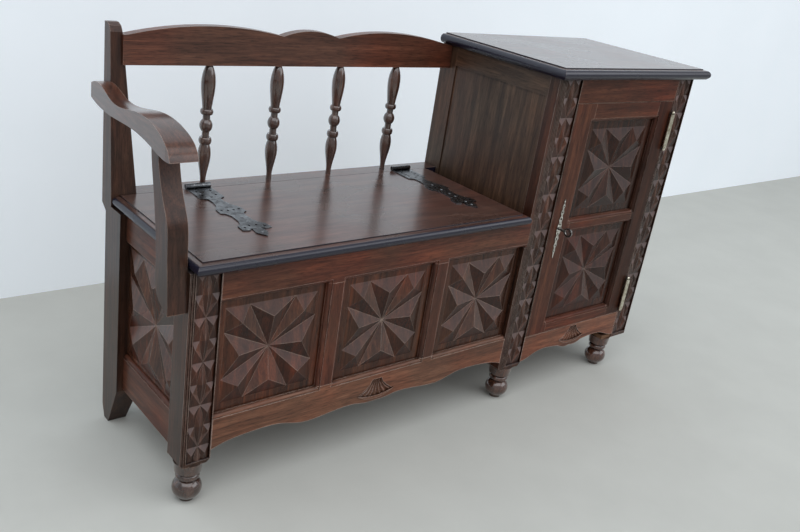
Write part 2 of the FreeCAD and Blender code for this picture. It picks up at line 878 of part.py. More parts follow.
crest_high = crest_underside + crest_high_rise
crest_low = crest_underside + crest_low_rise
crest_wave = [
    crest_point(0, crest_underside + crest_end_rise),
    crest_point(0.23, crest_high),
    crest_point(0.42, crest_low),
    crest_point(0.495, crest_underside + crest_tip_rise),
    crest_point(0.595, crest_low),
    crest_point(0.76, crest_high),
    crest_point(0.96, crest_low),
    crest_point(1, post_top - 0.5),
]
crest_low_left = Vector(back_post_top_width, crest_front, crest_underside)
crest_corner = Vector(x_side, crest_front, post_top - 0.5)
crest_low_right = Vector(x_side, crest_front, crest_underside)
crest_start = Vector(back_post_top_width, crest_front, crest_underside + crest_end_rise)
crest_wire = Part.Wire([
    line(crest_low_left, crest_start),
    line(crest_start, crest_wave[0]),
    curve(crest_wave[:3]),
    curve(crest_wave[2:5]),
    curve(crest_wave[4:]),
    line(crest_wave[-1], crest_corner),
    line(crest_corner, crest_low_right),
    line(crest_low_right, crest_low_left),
])
crest = Part.Face(crest_wire).extrude(Vector(0, crest_thickness, 0)).cut(back_post)
save("crest_rail", crest)

# Spindles.
spindle_turns = [
    [(0, spindle_thin), (0.12, spindle_thin + 1.8), (0.25, spindle_ring), (0.355, spindle_thin + 2.4)],
    [(0.355, spindle_ring - 1.8), (0.382, spindle_ring), (0.41, spindle_ring - 1.8)],
    [(0.41, spindle_thin + 1.2), (0.455, spindle_thin + 1.2)],
    [(0.455, spindle_thin + 1.2), (0.51, spindle_ring), (0.56, spindle_thin + 1.2)],
    [(0.56, spindle_thin + 1.2), (0.60, spindle_thin + 1.2)],
    [(0.60, spindle_ring - 1.8), (0.622, spindle_ring), (0.645, spindle_ring - 1.8)],
    [(0.645, spindle_thin + 2.8), (0.72, spindle_thin + 5), (0.80, spindle_swell), (1, spindle_thin)],
]
spindle_y = crest_front + crest_thickness / 2
for index in range(spindle_count):
    spindle_base = Vector(spindle_first + index * spindle_pitch, spindle_y, seat_height)
    save("spindle_" + str(index + 1), turning(spindle_turns, spindle_base, crest_underside - seat_height))

# Arm and its support.
arm_top = arm_underside + arm_thickness
arm_rows_top = [
    (depth, arm_top),
    (depth * 0.857, arm_top + arm_wave + 2),
    (depth * 0.717, arm_top - arm_wave + 1),
    (depth * 0.383, arm_top + arm_wave + 1),
    (depth * 0.103, arm_top + 1),
    (depth * 0.009, arm_underside + arm_thickness * 0.45),
    (-arm_nose, arm_underside - 2),
]
arm_rows_under = [
    (-arm_nose, arm_underside - 2),
    (depth * 0.023, arm_underside - 3),
    (depth * 0.2, arm_underside + 2),
    (depth * 0.414, arm_underside + arm_wave),
    (depth * 0.711, arm_underside - 1),
    (depth, arm_underside + arm_wave),
]
arm_start = Vector(arm_left, arm_rows_top[0][0], arm_rows_top[0][1])
arm_finish = Vector(arm_left, arm_rows_under[-1][0], arm_rows_under[-1][1])
arm_wire = Part.Wire([
    curve([Vector(arm_left, y, z) for y, z in arm_rows_top]),
    curve([Vector(arm_left, y, z) for y, z in arm_rows_under]),
    line(arm_finish, arm_start),
])
arm_side = Part.Face(arm_wire).extrude(Vector(-arm_left, 0, 0))
arm_plan = plan_prism([
    (0, -arm_nose - 1),
    (0, depth),
    (-arm_back_width, depth),
    (-arm_front_width, depth * 0.03),
    (-arm_front_width, -arm_nose - 1),
], 0, table_height)
arm = arm_side.common(arm_plan)
save("arm", arm)

support_top = arm_underside + arm_thickness * 0.6
support_length = support_top - support_foot_height


def support_row(rows):
    return [Vector(-support_width, y, support_foot_height + share * support_length) for share, y in rows]


support_toe = support_foot_depth - 29.5
support_front = support_row([
    (0, support_toe),
    (0.11, support_toe + 1.5),
    (0.37, support_toe + 8.5),
    (0.55, support_head_front - support_waist - 1),
    (0.65, support_head_front - support_waist * 0.675),
    (0.84, support_head_front - 7),
    (1, support_head_front),
])
support_rear = support_row([
    (1, support_head_back),
    (0.79, support_head_back - 7),
    (0.73, support_head_back - 11),
    (0.50, support_head_back - support_waist * 0.6),
    (0.26, support_foot_depth + 17),
    (0.125, support_foot_depth + 15),
    (0.055, support_foot_depth + 2),
])
support_wire = Part.Wire([
    curve(support_front),
    line(support_front[-1], support_rear[0]),
    curve(support_rear),
    line(support_rear[-1], support_front[0]),
])
support = Part.Face(support_wire).extrude(Vector(support_width, 0, 0))
save("arm_support", support.cut(arm))

# Cabinet top and front rails.
table_top = nosed_board(table_left, table_right, -nose_projection, depth, table_height, table_thickness)
save("cabinet_top", table_top)
frieze = box(x_door, x_right_post, 0, frame_thickness, frieze_underside, post_top)
save("frieze_rail", frieze)
cabinet_arch = cabinet_apron_end + cabinet_apron_arch
cabinet_lobe = cabinet_apron_end + cabinet_apron_lobe
cabinet_rows = [
    [(0, cabinet_lobe - 1), (0.17, cabinet_lobe), (0.24, cabinet_lobe + 5)],
    [
        (0.24, cabinet_lobe + 5),
        (0.42, cabinet_arch),
        (0.70, cabinet_arch - 2),
        (0.88, cabinet_apron_end + 4),
        (1, cabinet_apron_end),
    ],
]
cabinet_apron = apron(x_door, x_right_post, cabinet_apron_end, cabinet_sill, cabinet_rows)
save("cabinet_apron", with_shell(cabinet_apron, Vector((x_door + x_right_post) / 2, 0, cabinet_shell_height)))

# Right post and the block under the apron that carries the inboard foot.
right_post = box(x_right_post, x_end, 0, post_depth, foot_height, post_top)
lower_hinge_low = cabinet_sill + door_bottom_gap + lower_hinge_rise
upper_hinge_low = frieze_underside - door_top_gap - upper_hinge_drop - hinge_length
hinge_lows = (("lower", lower_hinge_low), ("upper", upper_hinge_low))
for hinge_name, hinge_low in hinge_lows:
    right_post = right_post.cut(box(
        x_right_post,
        x_right_post + hinge_leaf_thickness,
        0,
        hinge_leaf_depth,
        hinge_low,
        hinge_low + hinge_length / 2,
    ))
save("post_right", carved_post(right_post, x_right_post + right_band_inset, x_end - band_edge, post_top))
foot_block = box(
    x_right_post - right_foot_inboard - foot_radius + 3,
    x_right_post,
    2,
    post_depth,
    foot_height,
    cabinet_apron_end,
)
save("foot_block", foot_block)

# Cabinet floor and shelf, housed in the sides and cut round the posts.
inner_left = x_side + side_thickness
inner_right = x_end - side_thickness
cabinet_back_front = depth - board_thickness
post_keep = [
    box(x_middle, x_door, 0, post_depth, 0, post_top),
    box(x_right_post, x_end, 0, post_depth, 0, post_top),
    box(x_side, x_rear_left, y_rear_post, depth, 0, post_top),
    box(x_rear_right, x_end, y_rear_post, depth, 0, post_top),
]
cabinet_boards = []
for board_name, board_top, board_front in (
    ("floor", cabinet_sill - 1.0, frame_thickness),
    ("shelf", shelf_height, post_depth + 12.0),
):
    board = box(
        inner_left - housing_depth,
        inner_right + housing_depth,
        board_front,
        cabinet_back_front,
        board_top - board_thickness,
        board_top,
    )
    board = board.cut(post_keep)
    cabinet_boards.append(board)
    save("cabinet_" + board_name, board)

# Rear posts, sides and back of the cabinet.
save("rear_post_left", box(x_side, x_rear_left, y_rear_post, depth, 0, post_top))
save("rear_post_right", box(x_rear_right, x_end, y_rear_post, depth, 0, post_top))
side_top_low = post_top - side_top_rail_height
side_sets = (
    ("left", x_side, 1, side_panel_front),
    ("right", x_end, -1, post_depth),
)
for side_name, face_x, inward, front_y in side_sets:
    inner_x = face_x + inward * side_thickness
    panel_x = face_x + inward * side_panel_set_back
    x_low = min(face_x, inner_x)
    x_high = max(face_x, inner_x)
    panel_low = min(panel_x, inner_x)
    panel_high = max(panel_x, inner_x)
    save(
        "side_top_rail_" + side_name,
        box(x_low, x_high, front_y, y_rear_post, side_top_low, post_top),
    )
    side_panel = box(panel_low, panel_high, front_y, y_rear_post, side_rail_underside, side_top_low)
    save("side_panel_" + side_name, side_panel.cut(cabinet_boards))
cabinet_back = box(x_rear_left, x_rear_right, cabinet_back_front, depth, side_rail_underside, post_top)
save("cabinet_back", cabinet_back)

# Door frame and panels.
door_left = x_door + door_side_gap
door_right = x_right_post - door_hinge_gap
door_low = cabinet_sill + door_bottom_gap
door_high = frieze_underside - door_top_gap
door_inner_left = door_left + lock_stile_width
door_inner_right = door_right - hinge_stile_width
door_opening_x = door_inner_right - door_inner_left
door_sill = door_low + door_bottom_rail_height
door_head = door_high - door_top_rail_height
door_tools = []
for panel_name, low_z, high_z in (
    ("lower", door_sill, door_middle_rail_low),
    ("upper", door_middle_rail_high, door_head),
):
    height = high_z - low_z
    centre = Vector((door_inner_left + door_inner_right) / 2, 0, (low_z + high_z) / 2)
    panel = star_panel(door_opening_x, height, door_star_inset, panel_set_back)
    save("door_panel_" + panel_name, stand(panel, centre))
    door_tools.append(stand(groove(door_opening_x, height, panel_set_back), centre))
    for piece in sticking(door_opening_x, height):
        door_tools.append(stand(piece, centre))
key_start = Vector(key_x, -1, key_height)
key_bore = cylinder(key_shaft_radius + key_hole_play, key_start, Vector(key_x, door_thickness + 1, key_height))
lock_stile = box(door_left, door_inner_left, 0, door_thickness, door_low, door_high)
save("door_stile_lock", lock_stile.cut(door_tools + [key_bore]))
hinge_stile = box(door_inner_right, door_right, 0, door_thickness, door_low, door_high)
for hinge_name, hinge_low in hinge_lows:
    hinge_stile = hinge_stile.cut(box(
        door_right - hinge_leaf_thickness,
        door_right,
        0,
        hinge_leaf_depth,
        hinge_low + hinge_length / 2,
        hinge_low + hinge_length,
    ))
save("door_stile_hinge", hinge_stile.cut(door_tools))
for rail_name, low_z, high_z in (
    ("bottom", door_low, door_sill),
    ("middle", door_middle_rail_low, door_middle_rail_high),
    ("top", door_head, door_high),
):
    rail = box(door_inner_left, door_inner_right, 0, door_thickness, low_z, high_z)
    save("door_rail_" + rail_name, rail.cut(door_tools))

# Door hinges: the post's half carries the pin, the door's half lifts off.
for hinge_name, hinge_low in hinge_lows:
    low = Vector(hinge_x, hinge_y, hinge_low)
    middle = Vector(hinge_x, hinge_y, hinge_low + hinge_length / 2)
    high = Vector(hinge_x, hinge_y, hinge_low + hinge_length)
    finial_drop = Vector(0, 0, finial_radius * 0.8)
    post_leaf = box(
        x_right_post, x_right_post + hinge_leaf_thickness, hinge_y, hinge_leaf_depth, low.z, middle.z
    )
    lower_ball = Part.makeSphere(finial_radius, low - finial_drop)
    pin = cylinder(hinge_pin_radius, middle, high - Vector(0, 0, 4))
    lower_half = cylinder(knuckle_radius, low, middle).fuse([post_leaf, lower_ball, pin])
    save("hinge_post_" + hinge_name, lower_half)
    door_leaf = box(
        door_right - hinge_leaf_thickness, door_right, hinge_y, hinge_leaf_depth, middle.z, high.z
    )
    upper_start = middle + Vector(0, 0, knuckle_gap)
    upper_ball = Part.makeSphere(finial_radius, high + finial_drop)
    socket = cylinder(hinge_pin_radius + pin_play, middle, high - Vector(0, 0, 3.5))
    leaf_gap = box(
        hinge_x - 20, hinge_x + 20, hinge_y - 20, hinge_leaf_depth + 1, middle.z - 1, middle.z + knuckle_gap
    )
    upper_half = cylinder(knuckle_radius, upper_start, high).fuse([door_leaf, upper_ball])
    save("hinge_door_" + hinge_name, upper_half.cut([socket, leaf_gap]))

# Escutcheon.
plate_rows = [
    (0.0, 1.0),
    (0.13, 0.88),
    (0.22, 0.45),
    (0.33, 0.82),
    (0.44, 0.34),
    (0.55, 0.70),
    (0.66, 0.28),
    (0.76, 0.56),
    (0.86, 0.20),
    (0.92, 0.30),
    (1.0, 0.0),
]
half_plate = escutcheon_length / 2
right_side = [
    Vector(key_x + escutcheon_half_width * w, 0, key_height - 1 + half_plate * t) for t, w in plate_rows
]
lower_right = [Vector(p.x, 0, 2 * (key_height - 1) - p.z) for p in right_side]
right_run = lower_right[:0:-1] + right_side
left_run = [Vector(2 * key_x - p.x, 0, p.z) for p in right_run[::-1]]
plate_points = [Vector(p.x, 0, p.z) for p in right_run + left_run[1:-1]]
plate = polygon(plate_points).extrude(Vector(0, -escutcheon_thickness, 0))
plate_piercings = []
for side in (-1, 1):
    for share, radius in ((0.16, 2.0), (0.34, 2.6), (0.56, 2.2), (0.76, 1.7)):
        pierce_z = key_height - 1 + side * share * half_plate
        plate_piercings.append(cylinder(
            radius, Vector(key_x, -escutcheon_thickness - 1, pierce_z), Vector(key_x, 1, pierce_z)
        ))
plate_hole = cylinder(
    key_shaft_radius + key_hole_play,
    Vector(key_x, -escutcheon_thickness - 1, key_height),
    Vector(key_x, 1, key_height),
)
save("escutcheon", plate.cut([plate_hole] + plate_piercings))

# Lock case on the inside of the lock stile, with the bolt's channel and the key's chamber.
case_left = door_left + lock_case_inset
case_right = case_left + lock_case_width
case_back = door_thickness + lock_case_depth
case_low = key_height - lock_case_height / 2
lock_case = box(case_left, case_right, door_thickness, case_back, case_low, case_low + lock_case_height)
bolt_left = case_left - 0.5
bolt_channel = box(
    case_left - 1,
    bolt_left + bolt_length + bolt_play,
    bolt_front - bolt_play,
    bolt_front + bolt_thickness + bolt_play,
    bolt_low - bolt_play,
    bolt_low + bolt_height + bolt_play,
)
chamber_back = case_back - 2.0
chamber = cylinder(
    key_bit_reach + 0.6,
    Vector(key_x, door_thickness + 2, key_height),
    Vector(key_x, chamber_back, key_height),
)
case_bore = cylinder(
    key_shaft_radius + pin_play, Vector(key_x, door_thickness - 1, key_height), Vector(key_x, chamber_back, key_height)
)
save("lock_case", lock_case.cut([bolt_channel, chamber, case_bore]))
bolt = box(
    bolt_left,
    bolt_left + bolt_length,
    bolt_front,
    bolt_front + bolt_thickness,
    bolt_low,
    bolt_low + bolt_height,
)
save("lock_bolt", bolt)

# Key, with its bow upright and its bit pointing down.
shaft_end = Vector(key_x, chamber_back - 0.3, key_height)
shaft_start = Vector(key_x, key_bow_width - key_bow_bar / 2 - key_reach, key_height)
shaft = cylinder(key_shaft_radius, shaft_start, shaft_end)
bit = box(
    key_x - 1.5,
    key_x + 1.5,
    door_thickness + 3,
    door_thickness + 3 + key_bit_height,
    key_height - key_bit_reach,
    key_height - key_shaft_radius / 2,
)
bow_y = key_bow_width / 2 - key_reach


def oval(half_width, half_height, thickness):
    """Flat oval standing in the plane of the shaft and the vertical, centred on the bow."""
    edge = Part.Ellipse(Vector(0, 0, 0), half_width, half_height).toShape()
    disc = Part.Face(Part.Wire(edge)).extrude(Vector(0, 0, thickness))
    disc.translate(Vector(0, 0, -thickness / 2))
    disc.rotate(Vector(0, 0, 0), Vector(0, 0, 1), 90)
    disc.rotate(Vector(0, 0, 0), Vector(0, 1, 0), 90)
    disc.translate(Vector(key_x, bow_y, key_height))
    return disc


bow_outer = oval(key_bow_width / 2, key_bow_height / 2, key_bow_thickness)
bow_inner = oval(key_bow_width / 2 - key_bow_bar, key_bow_height / 2 - key_bow_bar, key_bow_thickness * 2)
save("key", shaft.fuse([bit, bow_outer.cut(bow_inner)]))
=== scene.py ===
"""Telephone bench: materials, fittings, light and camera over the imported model."""
import json
import math

import bmesh
import bpy
from mathutils import Matrix, Vector


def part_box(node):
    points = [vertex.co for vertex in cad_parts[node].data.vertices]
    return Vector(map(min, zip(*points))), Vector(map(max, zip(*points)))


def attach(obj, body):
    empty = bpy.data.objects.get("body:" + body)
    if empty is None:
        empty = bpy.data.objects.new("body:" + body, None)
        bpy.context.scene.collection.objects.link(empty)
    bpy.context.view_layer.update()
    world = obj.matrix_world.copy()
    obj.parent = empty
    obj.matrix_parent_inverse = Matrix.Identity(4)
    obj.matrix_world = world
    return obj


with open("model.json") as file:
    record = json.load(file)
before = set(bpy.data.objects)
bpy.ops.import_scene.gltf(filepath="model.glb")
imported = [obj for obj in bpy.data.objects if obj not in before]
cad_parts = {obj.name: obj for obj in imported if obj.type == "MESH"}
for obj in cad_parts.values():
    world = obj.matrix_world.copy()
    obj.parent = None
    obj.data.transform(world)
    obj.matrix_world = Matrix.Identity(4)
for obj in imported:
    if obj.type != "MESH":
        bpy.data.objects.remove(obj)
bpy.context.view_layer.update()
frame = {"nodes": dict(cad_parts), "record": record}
nodes = frame["nodes"]
scene = bpy.context.scene


# Node helpers.
UNIT_STRETCH = (1.0, 1.0, 1.0)
PATTERN_SPREAD = 7.0
BEVEL_SAMPLES, HOLLOW_SAMPLES = 4, 6
FLAT_SLOPE = (0.90, 0.97)


def new_material(name):
    material = bpy.data.materials.new(name)
    material.use_nodes = True
    tree = material.node_tree
    tree.nodes.clear()
    output = tree.nodes.new("ShaderNodeOutputMaterial")
    shader = tree.nodes.new("ShaderNodeBsdfPrincipled")
    tree.links.new(shader.outputs["BSDF"], output.inputs["Surface"])
    return material, tree, shader


def noise(tree, vector, scale, detail, roughness, distortion=0.0):
    node = tree.nodes.new("ShaderNodeTexNoise")
    node.inputs["Scale"].default_value = scale
    node.inputs["Detail"].default_value = detail
    node.inputs["Roughness"].default_value = roughness
    node.inputs["Distortion"].default_value = distortion
    tree.links.new(vector, node.inputs["Vector"])
    return node.outputs["Fac"]


def ramp(tree, factor, stops):
    """Colours along a factor; the two end stops come first."""
    node = tree.nodes.new("ShaderNodeValToRGB")
    elements = node.color_ramp.elements
    while len(elements) > 2:
        elements.remove(elements[-1])
    for index, (position, colour) in enumerate(stops):
        element = elements[index] if index < 2 else elements.new(position)
        element.position = position
        element.color = (*colour, 1.0)
    tree.links.new(factor, node.inputs["Fac"])
    return node.outputs["Color"]


def grey(value):
    return (value, value, value)


def mix(tree, factor, a, b, blend="MIX"):
    node = tree.nodes.new("ShaderNodeMix")
    node.data_type = "RGBA"
    node.blend_type = blend
    node.clamp_factor = True
    for value, socket in ((factor, node.inputs[0]), (a, node.inputs[6]), (b, node.inputs[7])):
        if hasattr(value, "links"):
            tree.links.new(value, socket)
        elif isinstance(value, tuple):
            socket.default_value = (*value, 1.0)
        else:
            socket.default_value = value
    return node.outputs[2]


def maths(tree, operation, *values):
    node = tree.nodes.new("ShaderNodeMath")
    node.operation = operation
    for value, socket in zip(values, node.inputs):
        if hasattr(value, "links"):
            tree.links.new(value, socket)
        else:
            socket.default_value = value
    return node.outputs[0]


def object_space(tree, stretch=UNIT_STRETCH, per_object=True):
    """Stretched and plain coordinates; each object can have its own part of the pattern."""
    coordinates = tree.nodes.new("ShaderNodeTexCoord")
    vector = coordinates.outputs["Object"]
    if per_object:
        info = tree.nodes.new("ShaderNodeObjectInfo")
        shift = maths(tree, "MULTIPLY", info.outputs["Random"], PATTERN_SPREAD)
        add = tree.nodes.new("ShaderNodeVectorMath")
        add.operation = "ADD"
        tree.links.new(vector, add.inputs[0])
        tree.links.new(shift, add.inputs[1])
        vector = add.outputs["Vector"]
    mapping = tree.nodes.new("ShaderNodeMapping")
    mapping.inputs["Scale"].default_value = stretch
    tree.links.new(vector, mapping.inputs["Vector"])
    return mapping.outputs["Vector"], coordinates.outputs["Object"]


def edge_mask(tree, radius, gain):
    """Near one on sharp edges, zero on flats."""
    bevel = tree.nodes.new("ShaderNodeBevel")
    bevel.samples = BEVEL_SAMPLES
    bevel.inputs["Radius"].default_value = radius
    geometry = tree.nodes.new("ShaderNodeNewGeometry")
    dot = tree.nodes.new("ShaderNodeVectorMath")
    dot.operation = "DOT_PRODUCT"
    tree.links.new(bevel.outputs["Normal"], dot.inputs[0])
    tree.links.new(geometry.outputs["Normal"], dot.inputs[1])
    gap = maths(tree, "SUBTRACT", 1.0, dot.outputs["Value"])
    return maths(tree, "MULTIPLY", gap, gain)


def openness(tree, distance):
    """Zero deep in a hollow or a joint, one on open surfaces."""
    node = tree.nodes.new("ShaderNodeAmbientOcclusion")
    node.samples = HOLLOW_SAMPLES
    node.inputs["Distance"].default_value = distance
    return node.outputs["AO"]


def bump(tree, height, strength, distance, shader):
    node = tree.nodes.new("ShaderNodeBump")
    node.inputs["Strength"].default_value = strength
    node.inputs["Distance"].default_value = distance
    tree.links.new(height, node.inputs["Height"])
    tree.links.new(node.outputs["Normal"], shader.inputs["Normal"])


def upward_slope(tree):
    """Minus one on undersides, zero on upright faces, one on tops."""
    coordinates = tree.nodes.new("ShaderNodeTexCoord")
    parts = tree.nodes.new("ShaderNodeSeparateXYZ")
    tree.links.new(coordinates.outputs["Normal"], parts.inputs["Vector"])
    return parts.outputs["Z"]


def rise(tree, factor, low, high, start=0.0, end=1.0):
    """A grey that goes from start to end as the factor goes from low to high."""
    return ramp(tree, factor, [(low, grey(start)), (high, grey(end))])


def lying_flat(tree, start=0.0, end=1.0):
    """Start on noses and edges, end on flat tops and undersides."""
    return rise(tree, maths(tree, "ABSOLUTE", upward_slope(tree)), *FLAT_SLOPE, start, end)


# Grain runs along the axis with the small stretch.
GRAIN = {"x": (1.0, 16.0, 16.0), "y": (16.0, 1.0, 16.0), "z": (16.0, 16.0, 1.0)}
WOOD_EDGE, METAL_EDGE = 0.0018, 0.0008
WOOD_HOLLOW, METAL_HOLLOW = 0.014, 0.005
# How dark the painted shade gets deep in a hollow, for wood and for metal.
WOOD_SHADE_FLOOR, METAL_SHADE_FLOOR = 0.28, 0.12
NOSE_COAT, COAT_ROUGHNESS = 0.35, 0.8
# Bluish-grey painted sheen for carved facets that look up.
FACET_SHEEN = (0.135, 0.115, 0.118)


def facet_light_and_shade(tree, colour, below, level, above, sheen):
    """Painted light and shade on carved facets: painted shade on those that look down, painted light and a
    bluish-grey painted sheen on those that look up.
    """
    slope = maths(tree, "MULTIPLY_ADD", upward_slope(tree), 0.5, 0.5)
    warm_shade = (below * 1.45, below, below * 0.85)
    tilt = ramp(tree, slope, [(0.40, warm_shade), (0.60, grey(above)), (0.5, grey(level))])
    colour = mix(tree, 1.0, colour, tilt, "MULTIPLY")
    return mix(tree, rise(tree, slope, 0.53, 0.64, 0.0, sheen), colour, FACET_SHEEN)


def rubbed_and_highlit_edges(tree, colour, plain, open_air, worn, wear, edge_gain):
    """Outer edges show the pale wood in places, most of all where they look up: partly real wear, partly a painted
    highlight on ridges and rims.
    """
    rub = noise(tree, plain, scale=38.0, detail=5.0, roughness=0.6)
    up = rise(tree, upward_slope(tree), 0.0, 0.6)
    rub_share = maths(tree, "MULTIPLY", rise(tree, rub, 0.36, 0.60, 0.15, 1.0), wear)
    upward = maths(tree, "ADD", maths(tree, "MULTIPLY", up, 0.75), 0.25)
    edges = maths(tree, "MULTIPLY", edge_mask(tree, WOOD_EDGE, edge_gain), upward)
    edges = maths(tree, "MULTIPLY", edges, rise(tree, open_air, 0.70, 0.92))
    return mix(tree, maths(tree, "MULTIPLY", edges, rub_share), colour, worn)


def wood(
    name, grain, tones, red, worn, roughness, coat, wear,
    nose_shade=None, specular=0.35, carved=None, edge_gain=6.0, hollow=(0.15, 0.75),
):
    """Stained wood: streaks and pores along the grain, redder patches, rubbed edges that double as painted
    highlights, painted shade in the hollows and on noses, and painted light and shade on carved facets.
    """
    material, tree, shader = new_material(name)
    stretched, plain = object_space(tree, GRAIN[grain])
    streaks = noise(tree, stretched, scale=4.0, detail=9.0, roughness=0.64, distortion=0.9)
    fine = noise(tree, stretched, scale=22.0, detail=4.0, roughness=0.6)
    pores = noise(tree, stretched, scale=55.0, detail=3.0, roughness=0.5)
    patches = noise(tree, plain, scale=5.0, detail=3.0, roughness=0.5)
    dark, middle, light = tones
    colour = ramp(tree, streaks, [(0.30, dark), (0.70, light), (0.5, middle)])
    colour = mix(tree, 0.55, colour, rise(tree, fine, 0.32, 0.62, 0.55, 1.25), "MULTIPLY")
    colour = mix(tree, 0.8, colour, rise(tree, pores, 0.34, 0.47, 0.35, 1.0), "MULTIPLY")
    reddened = mix(tree, 1.0, colour, red, "MULTIPLY")
    colour = mix(tree, rise(tree, patches, 0.45, 0.66), colour, reddened)
    # Painted shade with a bluish painted reflection on the upright faces (noses) of a top.
    if nose_shade:
        colour = mix(tree, lying_flat(tree), nose_shade, colour)
    # Painted light and shade on carved facets, by which way each facet faces.
    if carved:
        colour = facet_light_and_shade(tree, colour, *carved)
    open_air = openness(tree, WOOD_HOLLOW)
    # Painted shade: darker in hollows and joints, where the surface is hemmed in.
    colour = mix(tree, 1.0, colour, rise(tree, open_air, *hollow, WOOD_SHADE_FLOOR, 1.0), "MULTIPLY")
    colour = rubbed_and_highlit_edges(tree, colour, plain, open_air, worn, wear, edge_gain)
    tree.links.new(colour, shader.inputs["Base Color"])
    low, high = roughness
    tree.links.new(rise(tree, patches, 0.3, 0.75, low, high), shader.inputs["Roughness"])
    shader.inputs["Specular IOR Level"].default_value = specular
    if nose_shade:
        tree.links.new(lying_flat(tree, coat * NOSE_COAT, coat), shader.inputs["Coat Weight"])
    else:
        shader.inputs["Coat Weight"].default_value = coat
    shader.inputs["Coat Roughness"].default_value = low * COAT_ROUGHNESS
    bump(tree, mix(tree, 0.5, streaks, pores), 0.25, 0.0005, shader)
    return material


def metal(name, base, tarnish, wear, roughness, scale):
    """Blotched metal with brighter edges and painted shade in the hollows."""
    material, tree, shader = new_material(name)
    spread, _ = object_space(tree)
    blotches = noise(tree, spread, scale, detail=5.0, roughness=0.6)
    colour = ramp(tree, blotches, [(0.35, tarnish), (0.65, base)])
    colour = mix(tree, edge_mask(tree, METAL_EDGE, 6.0), colour, wear)
    # Painted shade in the hollows of the metal.
    metal_painted_shade = rise(tree, openness(tree, METAL_HOLLOW), 0.25, 0.85, METAL_SHADE_FLOOR, 1.0)
    colour = mix(tree, 1.0, colour, metal_painted_shade, "MULTIPLY")
    tree.links.new(colour, shader.inputs["Base Color"])
    low, high = roughness
    tree.links.new(rise(tree, blotches, 0.3, 0.7, high, low), shader.inputs["Roughness"])
    shader.inputs["Metallic"].default_value = 1.0
    bump(tree, blotches, 0.25, 0.0004, shader)
    return material


